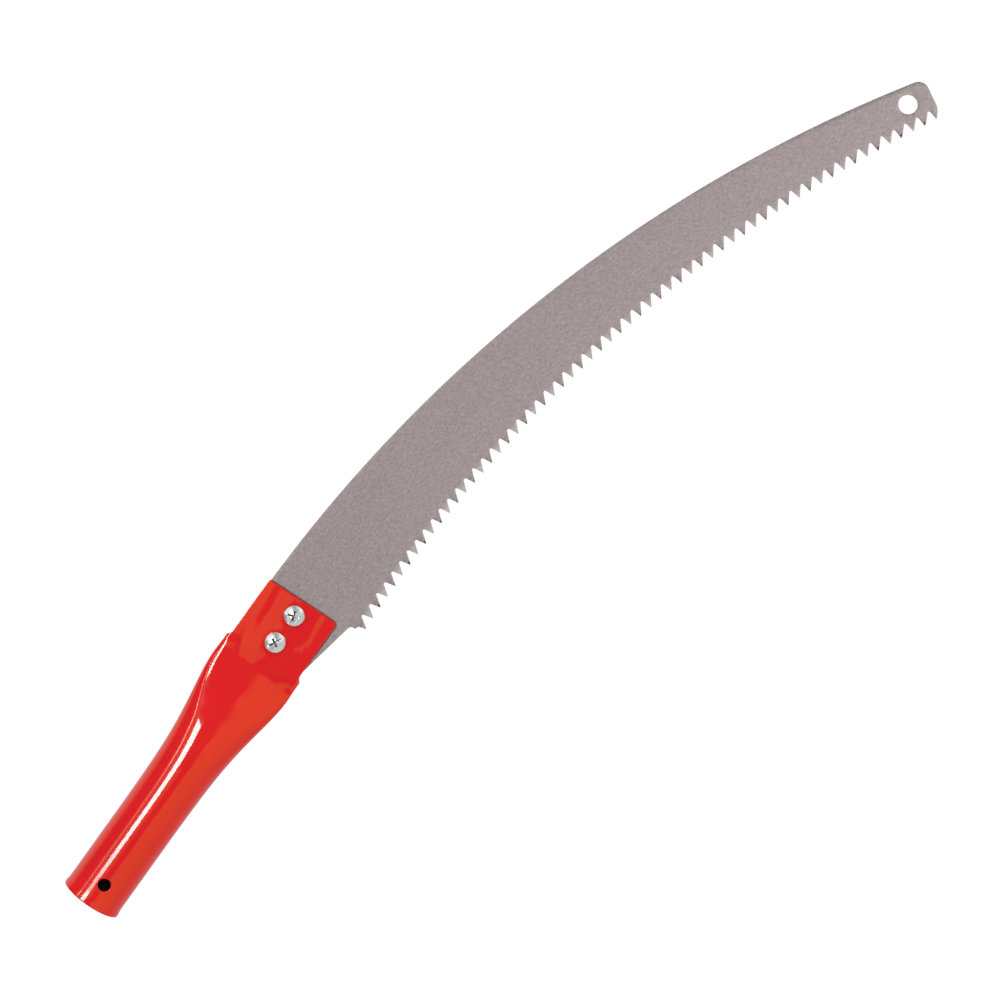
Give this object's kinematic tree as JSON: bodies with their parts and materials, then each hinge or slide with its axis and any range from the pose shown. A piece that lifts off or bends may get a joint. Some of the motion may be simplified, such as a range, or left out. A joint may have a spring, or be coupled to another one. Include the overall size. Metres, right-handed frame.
{
  "type": "pruning saw head",
  "caption": "Curved pruning saw head: toothed steel blade clamped by screws between the flattened jaws of a tube socket that takes a pole.",
  "frame": {"origin": "centre of the socket's open mouth", "axes": "+Z along the socket's axis, out of the pole and towards the blade; +X towards the toothed edge; -Y is the side with the screw heads"},
  "size_m": [0.1276, 0.0288, 0.5267],
  "materials": {
    "red_paint": "orange-red gloss stove paint on pressed steel tube",
    "blade_steel": "satin ground steel with a fine grain across the blade",
    "bright_zinc": "bright zinc plate",
    "dull_zinc": "dull zinc plate",
    "nut_zinc": "bright zinc plate"
  },
  "bodies": {
    "saw_head": {"socket": "red_paint", "blade": "blade_steel", "upper_screw": "bright_zinc", "lower_screw": "bright_zinc"},
    "upper_washer": {"upper_spring_washer": "dull_zinc"},
    "upper_nut": {"upper_nut": "nut_zinc"},
    "lower_washer": {"lower_spring_washer": "dull_zinc"},
    "lower_nut": {"lower_nut": "nut_zinc"}
  },
  "joints": [
    {"name": "upper_washer_slide", "type": "slide", "parent": "saw_head", "child": "upper_washer", "axis": [0, 1, 0], "range_m": [0, 0.0064]},
    {"name": "upper_nut_turn", "type": "hinge", "parent": "upper_washer", "child": "upper_nut", "pos_m": [0.0004, 0, 0.16], "axis": [0, 1, 0], "range_deg": [0, 2882]},
    {"name": "lower_washer_slide", "type": "slide", "parent": "saw_head", "child": "lower_washer", "axis": [0, 1, 0], "range_m": [0, 0.0064]},
    {"name": "lower_nut_turn", "type": "hinge", "parent": "lower_washer", "child": "lower_nut", "pos_m": [0.0004, 0, 0.145], "axis": [0, 1, 0], "range_deg": [0, 2882]}
  ],
  "couplings": [
    {"joint": "upper_nut_turn", "follows": "upper_washer_slide", "rad_per_m": 7854},
    {"joint": "lower_nut_turn", "follows": "lower_washer_slide", "rad_per_m": 7854}
  ]
}
